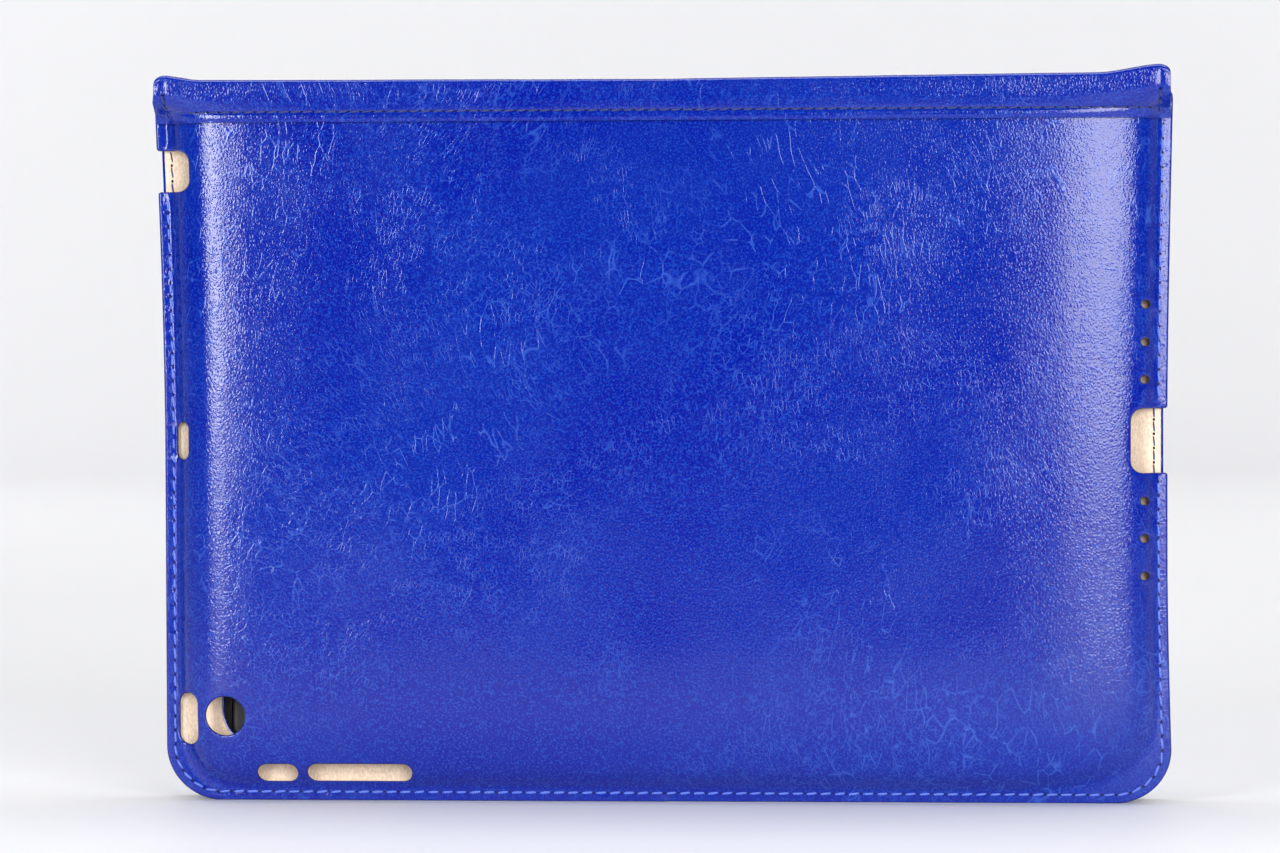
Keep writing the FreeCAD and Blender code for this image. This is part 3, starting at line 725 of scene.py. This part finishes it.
frame_skin = sheet("window_frame_leather", outer, [opening], frame_y, Y_FACE - Y_FRAME_LINING, [BLUE_THIN, BLUE_THIN],
                   rim=0.55, toward=-1, middle=4.0, warp=flare, closed=True)
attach(frame_skin, "sleeve")
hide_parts("window_frame_skin")


# ---- the cover: skin and lining
def cover_y(x, z):
    """The cover's outside: flat, with pinched edges and its own seam."""
    side, low = COVER_HALF - abs(x), z
    out = min(side, low)
    groove = 0.15 * math.exp(-((out - EDGE_SEAM) / 0.42) ** 2) if z < BAND_LOW else 0.0
    soft = smooth(4, 20, out)
    return (Y_COVER_FACE + 0.02 - 0.55 * (1 - smooth(0, 3.0, out)) - groove
            + soft * (0.10 * noise.noise(Vector((x / 30, z / 36, 12.3))) + 0.05 * noise.noise(Vector((x / 9, z / 12, 5.3)))))


cover_loop = rounded(-COVER_HALF, COVER_HALF, 0.0, PANEL_TOP, LOW_R - 1.0, TOP_R)
cover_skin = sheet("cover_leather", cover_loop, [], cover_y, Y_COVER_FACE - Y_COVER_BOARD, [BLUE, EDGE],
                   rim=0.7, toward=-1, closed=True)
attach(cover_skin, "cover")
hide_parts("cover_skin")

cover_lining = sheet("cover_microfibre", moved(rounded(-COVER_HALF, COVER_HALF, 0.9, PANEL_TOP, LOW_R - 1.0, TOP_R), 0.7), [],
                     lambda x, z: Y_COVER_LINING + 0.02 + 0.05 * noise.noise(Vector((x / 12, z / 12, 2.0))), LINING_T - 0.05,
                     [BEIGE], rim=0.25, toward=1, middle=4.0)
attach(cover_lining, "cover")
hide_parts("cover_lining")


# ---- the spine strip: two bands and the folds between them, in one run of leather
def spine_top(x):
    """Height of the spine's top, which curls up at both ends, most at the right."""
    if x < 0:
        return 183.0 - 0.004 * x + 1.3 * smooth(116, 127, -x)
    return 183.0 + 0.0085 * x + 1.9 * smooth(110, 126, x)


FOLD_R = 1.5
BACK_FOLD = -Y_SPINE


def band_outer(x, z, low_y):
    """The band's outer face between its sewn lower edge and the fold."""
    top = spine_top(x) - FOLD_R
    t = (z - BAND_LOW) / (top - BAND_LOW)
    blend = smooth(0.05, 0.60, t)
    seam = BAND_LOW + BAND_SEAM
    puff = 0.22 * math.exp(-((z - BAND_LOW - 1.25) / 0.75) ** 2) + 0.30 * smooth(0.35, 0.6, t) * (1 - smooth(0.75, 1.0, t))
    groove = 0.20 * math.exp(-((z - seam) / 0.38) ** 2)
    end = SPINE_HALF - abs(x)
    groove += 0.20 * math.exp(-((end - END_SEAM) / 0.40) ** 2) * smooth(0.15, 0.3, t)
    wave = 0.14 * noise.noise(Vector((x / 16, z / 5, 9.1)))
    return low_y * (1 - blend) + BACK_FOLD * blend - puff - wave + groove


def spine_half(name, side, low_y_at, with_flare):
    """One band with its fold, from its lower edge to the middle of the spine's top."""
    stops = [0.0, 0.12, 0.35, 0.8, 1.3, 1.8, 2.1, 2.35, 2.6, 2.85, 3.1, 3.6, 4.6, 5.8, 7.0, 8.2]
    columns = [-SPINE_HALF + s for s in (0, 0.1, 0.3, 0.7, 1.2, 1.7, 2.1, 2.5, 2.9, 3.3, 4, 5)]
    columns += [-SPINE_HALF + 6 + i * (2 * SPINE_HALF - 12) / 126 for i in range(127)]
    columns += [-c for c in columns[:12]][::-1]
    outer_rows, inner_rows = [], []
    for x in columns:
        low = low_y_at(x)
        top = spine_top(x) + 0.06 * noise.noise(Vector((x / 11, 3.3 * side, 0.7)))
        line = []
        straight = top - FOLD_R - BAND_LOW
        for s in stops:
            z = BAND_LOW + s / 8.2 * 0.93 * straight if s > 3.6 else BAND_LOW + s
            line.append((band_outer(x, z, low), z))
        for k in range(9):
            a = math.radians(180 - 90 * k / 8)
            swell = 0.12 * math.sin(2 * a + math.pi)
            line.append((BACK_FOLD + FOLD_R + FOLD_R * math.cos(a) - swell, top - FOLD_R + FOLD_R * math.sin(a)))
        for y in (-9.6, -8.2, -6.5, -4.5, -2.2, 0.0):
            puff = 0.12 * (1 - (y / 9.6) ** 2) - 0.10 * math.exp(-((y + 8.6) / 0.7) ** 2)
            line.append((y, top + puff))
        points = [Vector(p) for p in line]
        inner = []
        for k, p in enumerate(points):
            ahead = (points[min(k + 1, len(points) - 1)] - points[max(k - 1, 0)]).normalized()
            right = Vector((ahead.y, -ahead.x))
            if k == len(points) - 1:
                right = Vector((0, -1))
            inner.append(p + right * BAND_T)
        outer_rows.append(points)
        inner_rows.append(inner)
    verts, faces, kinds = [], [], []

    def wide(x, z):
        """The band's ends stand out a little, most at the lower corners."""
        low = 1 - smooth(BAND_LOW, BAND_LOW + 9, z)
        out = (0.35 + 0.75 * low if x < 0 else 0.10 + 0.15 * low) if with_flare else 0.0
        return x + math.copysign(out * (abs(x) / SPINE_HALF) ** 8, x)

    def rounded_end(x, z):
        """Rounds the strip's upper corners."""
        over = abs(x) - (SPINE_HALF - 3.2)
        return 0.0 if over <= 0 else (3.2 - math.sqrt(max(0.0, 3.2 ** 2 - over ** 2))) * smooth(176, 183, z) * 0.6

    def add(rows):
        """Adds the rows' points and returns the number of the first."""
        first = len(verts)
        for x, row in zip(columns, rows):
            for p in row:
                z = p.y - rounded_end(x, p.y)
                verts.append((wide(x, p.y), p.x * side, z))
        return first

    size = len(outer_rows[0])
    a, b = add(outer_rows), add(inner_rows)
    count = len(columns)
    for i in range(count - 1):
        for k in range(size - 1):
            p = i * size + k
            faces.append((a + p, a + p + 1, a + p + 1 + size, a + p + size))
            kinds.append(0)
            faces.append((b + p, b + p + size, b + p + 1 + size, b + p + 1))
            kinds.append(0)
        faces.append((a + i * size, a + (i + 1) * size, b + (i + 1) * size, b + i * size))
        p = i * size + size - 1
        faces.append((a + p, b + p, b + p + size, a + p + size))
        kinds += [1, 1]
    for i in (0, count - 1):
        for k in range(size - 1):
            p = i * size + k
            faces.append((a + p, b + p, b + p + 1, a + p + 1))
            kinds.append(1)
    obj = make(name, verts, faces, [BLUE, EDGE], kinds)
    orient_strip(obj)
    return obj


def orient_strip(obj):
    """Turns the strip's faces outwards, judged by the flat faces on top of the spine."""
    def upside_down(bm):
        top = 0.0
        for f in bm.faces:
            at = f.calc_center_median() / MM
            if f.material_index == 0 and abs(f.normal.z) > 0.9 and at.z > 178 and at.z > spine_top(at.x) - 0.8:
                top += f.normal.z * f.calc_area()
        return top < 0
    outward(obj, upside_down)


def back_band_low(x):
    near = max(-HALF + 0.4, min(HALF - 0.4, x * (HALF - 0.4) / SPINE_HALF))
    return Y_MARGIN - crown(near, BAND_LOW + 3) - BAND_T


spine_a = spine_half("spine_leather_back", 1, back_band_low, True)
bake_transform(spine_a)
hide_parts("spine_leather", "spine_band_on_sleeve")
spine_b = spine_half("spine_leather_front", -1, lambda x: -Y_COVER_FACE - BAND_T, False)
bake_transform(spine_b)
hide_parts("spine_band_on_cover")


def bent_strip(name, half_x, half_y, top_gap, thick, mat, node):
    """A flat strip under the spine's leather that follows its sag."""
    verts, faces = [], []
    columns = [-half_x + 2 * half_x * i / 80 for i in range(81)]
    section = [(-half_y, 0.0), (-half_y + 0.25, 0.12), (half_y - 0.25, 0.12), (half_y, 0.0), (half_y, -thick + 0.15),
               (half_y - 0.25, -thick), (-half_y + 0.25, -thick), (-half_y, -thick + 0.15)]
    for x in columns:
        top = spine_top(x) - BAND_T - top_gap - 0.13
        verts += [(x, y, top + z) for y, z in section]
    n = len(section)
    for i in range(len(columns) - 1):
        for k in range(n):
            a, b = i * n + k, i * n + (k + 1) % n
            faces.append((a, b, b + n, a + n))
    faces.append(tuple(range(n)))
    faces.append(tuple(reversed(range((len(columns) - 1) * n, len(columns) * n))))
    obj = make(name, verts, faces, [mat])
    outward(obj)
    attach(obj, "spine")
    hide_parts(node)
    return obj


bent_strip("spine_stiffener", BOARD_HALF_X, BOARD_HALF_Y, 0.02, BOARD_T, BOARD, "spine_board")
spine_lining = bent_strip("spine_microfibre", BOARD_HALF_X, 9.1, BOARD_T + 0.04, LINING_T, BEIGE, "spine_lining")


# ---- stitches
def normal_to(surface, toward):
    """The outward normal of a panel at a point that lies on it."""
    def at(p):
        x, z, e = p.x, p.z, 0.15
        dx = (surface(x + e, z) - surface(x - e, z)) / (2 * e)
        dz = (surface(x, z + e) - surface(x, z - e)) / (2 * e)
        return Vector((dx, -1.0, dz)) * toward if toward > 0 else Vector((-dx, 1.0, -dz))
    return at


def seam_line(loop, distance, surface, lift, low_z, high_z, skip=()):
    """The part of a loop, moved in by a distance, that a seam follows."""
    runs, run = [], []
    ring = moved(loop, distance)
    start = max(range(len(ring)), key=lambda i: ring[i][1])
    for x, z in ring[start:] + ring[:start + 1]:
        if low_z <= z <= high_z and not any(s * x > 0 and a <= z <= b for s, a, b in skip):
            run.append(Vector((x, surface(x, z) - lift, z)))
        else:
            if len(run) > 3:
                runs.append(run)
            run = []
    if len(run) > 3:
        runs.append(run)
    return runs


def flared(runs):
    return [[p + Vector((flare(p.x, p.z), 0, 0)) for p in run] for run in runs]


plain = rounded(-HALF, HALF, 0.0, PANEL_TOP, LOW_R, TOP_R)
skips = ((-1, HEADPHONE[0] - 1.6, HEADPHONE[1] + 1.6), (1, CONNECTOR[0] - 1.6, CONNECTOR[1] + 1.6))
runs = flared(seam_line(plain, EDGE_SEAM, back_y, 0.0, 0.0, BAND_LOW - 1.0, skips))
row = stitches("sleeve_edge_stitches", runs, [normal_to(back_y, 1)] * len(runs), [SEAM, HOLE_SHADE], 3)
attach(row, "sleeve")
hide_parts("sleeve_edge_thread")

# the same seam comes out on the window frame: on its lining in the two notches, and all round on its leather
low_l, high_l = HEADPHONE[0] - 1.0, HEADPHONE[1] + 1.0
low_r, high_r = CONNECTOR[0] - 1.0, CONNECTOR[1] + 1.0
notch_runs = [[Vector((-HALF + 3.3, Y_POCKET, low_l + i)) for i in range(int(high_l - low_l) + 1)],
              [Vector((HALF - 3.3, Y_POCKET, low_r + i)) for i in range(int(high_r - low_r) + 1)]]
row = stitches("notch_stitches", flared(notch_runs), [lambda p: Vector((0, -1, 0))] * 2, [SEAM_DARK, HOLE_SHADE], 5,
               radius=0.2, proud=0.08)
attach(row, "sleeve")
runs = flared(seam_line(outer, EDGE_SEAM - 0.4, frame_y, 0.0, 0.0, FRAME_TOP - 2.5))
row = stitches("window_frame_stitches", runs, [normal_to(frame_y, -1)] * len(runs), [SEAM, HOLE_SHADE], 7)
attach(row, "sleeve")

runs = seam_line(cover_loop, EDGE_SEAM, cover_y, 0.0, 0.0, BAND_LOW - 1.0)
row = stitches("cover_edge_stitches", runs, [normal_to(cover_y, -1)] * len(runs), [SEAM, HOLE_SHADE], 11)
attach(row, "cover")
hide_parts("cover_edge_thread")


def band_rows(name, side, low_y_at, body, node, seed, wide_out):
    def y_at(x, z):
        return band_outer(x, z, low_y_at(x))
    z = BAND_LOW + BAND_SEAM
    across = [x for x in range(-125, 126)]
    runs = [[Vector((x, y_at(x, z) * side, z)) for x in across]]
    for end in (-1, 1):
        x = end * (SPINE_HALF - END_SEAM)
        out = wide_out if end < 0 else 0.1
        heights = [BAND_LOW + 0.6 + i * 0.5 for i in range(15)]
        runs.append([Vector((x + out, y_at(x, high) * side, high)) for high in heights])

    def normal(p):
        e = 0.15
        dx = (y_at(p.x + e, p.z) - y_at(p.x - e, p.z)) / (2 * e)
        dz = (y_at(p.x, p.z + e) - y_at(p.x, p.z - e)) / (2 * e)
        return Vector((dx, -1.0 * side, dz))
    row = stitches(name, runs, [normal] * 3, [SEAM_DARK, HOLE_SHADE], seed, pitch=3.0, radius=0.26, proud=0.10, slant=0.16, fill=0.82)
    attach(row, body)
    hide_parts(node)


band_rows("sleeve_band_stitches", 1, back_band_low, "sleeve", "sleeve_band_thread", 17, -0.35)
band_rows("cover_band_stitches", -1, lambda x: -Y_COVER_FACE - BAND_T, "cover", "cover_band_thread", 19, 0.0)


# ---- keycaps, one moulded cap for each solid of a row
def loose_boxes(mesh):
    """Lowest and highest corners of each unconnected part of a mesh."""
    parent = list(range(len(mesh.vertices)))

    def root(i):
        while parent[i] != i:
            parent[i] = parent[parent[i]]
            i = parent[i]
        return i
    for edge in mesh.edges:
        a, b = root(edge.vertices[0]), root(edge.vertices[1])
        parent[a] = b
    where = {}
    for v in mesh.vertices:
        key = tuple(round(c, 7) for c in v.co)
        where.setdefault(key, v.index)
        parent[root(v.index)] = root(where[key])
    boxes = {}
    for v in mesh.vertices:
        low, high = boxes.setdefault(root(v.index), ([1e9] * 3, [-1e9] * 3))
        for k in range(3):
            low[k] = min(low[k], v.co[k] / MM)
            high[k] = max(high[k], v.co[k] / MM)
    return sorted(boxes.values(), key=lambda b: (b[0][2], b[0][0]))


def cap_loop(x0, x1, z0, z1, r):
    out = []
    for cx, cz, start in ((x1 - r, z0 + r, -90), (x1 - r, z1 - r, 0), (x0 + r, z1 - r, 90), (x0 + r, z0 + r, 180)):
        angles = [math.radians(start + 90 * k / 5) for k in range(6)]
        out += [(cx + r * math.cos(a), cz + r * math.sin(a)) for a in angles]
    return out


def keycaps(name, node):
    """Keycaps with rounded edges, a dished top and open skirts; the tops face -Y."""
    verts, faces = [], []
    for low, high in loose_boxes(frame["nodes"][node].data):
        x0, y0, z0 = low
        x1, y1, z1 = high
        mx, mz, hx, hz = (x0 + x1) / 2, (z0 + z1) / 2, (x1 - x0) / 2, (z1 - z0) / 2
        rings = []
        for shrink, y, r in ((1.15, y0 + 0.80, 0.9), (0.95, y1 - 0.05, 1.0), (0.75, y1, 1.1), (0.08, y1, 1.45), (0.0, y1 - 0.1, 1.5),
                             (0.05, y0 + 0.55, 1.5), (0.22, y0 + 0.22, 1.45), (0.5, y0 + 0.06, 1.35), (0.95, y0, 1.2),
                             (1.9, y0 + 0.035, 0.9), (3.2, y0 + 0.10, 0.6)):
            shrink = min(shrink, hx - 1.0, hz - 1.0)
            r = min(r, hx - shrink - 0.1, hz - shrink - 0.1)
            loop = cap_loop(x0 + shrink, x1 - shrink, z0 + shrink, z1 - shrink, r)
            rings.append([(x, y, z) for x, z in loop])
        base, n = len(verts), 24
        for ring in rings:
            verts += ring
        for k in range(len(rings) - 1):
            for s in range(n):
                a, b = base + k * n + s, base + k * n + (s + 1) % n
                faces.append((a, b, b + n, a + n))
        last = base + (len(rings) - 1) * n
        centre = len(verts)
        verts.append((mx, y0 + 0.16, mz))
        for s in range(n):
            faces.append((last + s, last + (s + 1) % n, centre))
        faces.append(tuple(base + s for s in reversed(range(n))))
    obj = make(name, verts, faces, [CAP])
    outward(obj)
    return obj


for node in ("keys_function_row", "keys_number_row", "keys_upper_row", "keys_home_row", "keys_lower_row",
             "keys_modifier_row", "space_bar"):
    body = next(b for b, nodes in frame["record"]["behaviour"]["bodies"].items() if node in nodes)
    caps = keycaps(node + "_caps", node)
    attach(caps, body)
    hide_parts(node)


# ---- studio: a round floor that turns up into a wall, with painted shade that darkens the floor in front of the case
def stage_material(name, tone):
    n = Nodes(name, Specular_IOR_Level=0.25)
    split = n.tree.nodes.new("ShaderNodeSeparateXYZ")
    n.put(split.inputs[0], n.coords)
    cloud = n.mix(n.noise(3.0, 3.0), tone, tuple(c * 0.985 for c in tone))
    # painted shade: the floor's colour falls to an eighth of its tone from y -0.25 m to -0.95 m, towards the camera
    shade = n.mix(n.span(split.outputs[1], -0.95, -0.25), tuple(c * 0.12 for c in tone), cloud)
    return n.finish(shade, 0.55, n.bump(n.noise(300.0, 2.0), 0.02, 0.0002))


profile = [(0.0, 0.0), (0.5, 0.0), (1.2, 0.0), (2.4, 0.0)] + [(2.4 + 0.8 * math.sin(a), 0.8 - 0.8 * math.cos(a))
          for a in (math.radians(90 * k / 12) for k in range(1, 13))] + [(3.2, 2.0), (3.2, 3.4)]
around = 72
verts = [(r * 1000 * math.sin(2 * math.pi * i / around), r * 1000 * math.cos(2 * math.pi * i / around), z * 1000)
         for i in range(around) for r, z in profile[1:]] + [(0.0, 0.0, 0.0)]
n, centre = len(profile) - 1, len(verts) - 1
faces = []
for i in range(around):
    j = (i + 1) % around
    faces.append((centre, j * n, i * n))
    faces += [(i * n + k, j * n + k, j * n + k + 1, i * n + k + 1) for k in range(n - 1)]
floor = make("studio_sweep", verts, faces, [stage_material("sweep_paper", (0.80, 0.80, 0.815))])


def area_light(name, at, look, size, watts, tone=(1, 1, 1)):
    data = bpy.data.lights.new(name, "AREA")
    data.shape = "RECTANGLE"
    data.size, data.size_y = size
    data.energy = watts
    data.color = tone
    obj = bpy.data.objects.new(name, data)
    obj.location = at
    obj.rotation_euler = (Vector(look) - Vector(at)).to_track_quat("-Z", "Y").to_euler()
    bpy.context.scene.collection.objects.link(obj)


# name, place, aim, (width, height), watts
for light in (("left_softbox", (-0.64, -1.20, 0.43), (0, 0, 0.10), (0.30, 0.80), 12.5),
              ("right_softbox", (0.58, -1.28, 0.43), (0, 0, 0.10), (0.74, 0.80), 19),
              ("top_softbox", (0.0, 0.20, 1.5), (0, 0.20, 0.0), (1.8, 0.9), 19),
              ("backdrop_left", (-1.5, 1.3, 1.3), (-0.3, 3.2, 0.6), (0.6, 1.2), 23),
              ("backdrop_right", (1.5, 1.3, 1.3), (0.3, 3.2, 0.6), (0.6, 1.2), 24.5)):
    area_light(*light)

world = bpy.data.worlds.new("studio_fill")
world.use_nodes = True
world.node_tree.nodes["Background"].inputs[0].default_value = (0.95, 0.97, 1.0, 1)
world.node_tree.nodes["Background"].inputs[1].default_value = 0.06
bpy.context.scene.world = world

camera_data = bpy.data.cameras.new("camera")
camera_data.lens = 145
camera_data.sensor_width = 36
camera_data.clip_start, camera_data.clip_end = 0.05, 20
camera = bpy.data.objects.new("camera", camera_data)
aim = Vector((-0.0051, -0.010, 0.0955))
turn, raise_by = math.radians(4.66), math.radians(1.5)
away = Vector((math.sin(turn) * math.cos(raise_by), -math.cos(turn) * math.cos(raise_by), math.sin(raise_by)))
camera.location = aim + 1.3 * away
camera.rotation_euler = (aim - camera.location).to_track_quat("-Z", "Y").to_euler()
camera.rotation_euler.rotate_axis("Z", math.radians(-0.2))
bpy.context.scene.collection.objects.link(camera)
bpy.context.scene.camera = camera
bpy.context.scene.view_settings.view_transform = "Standard"
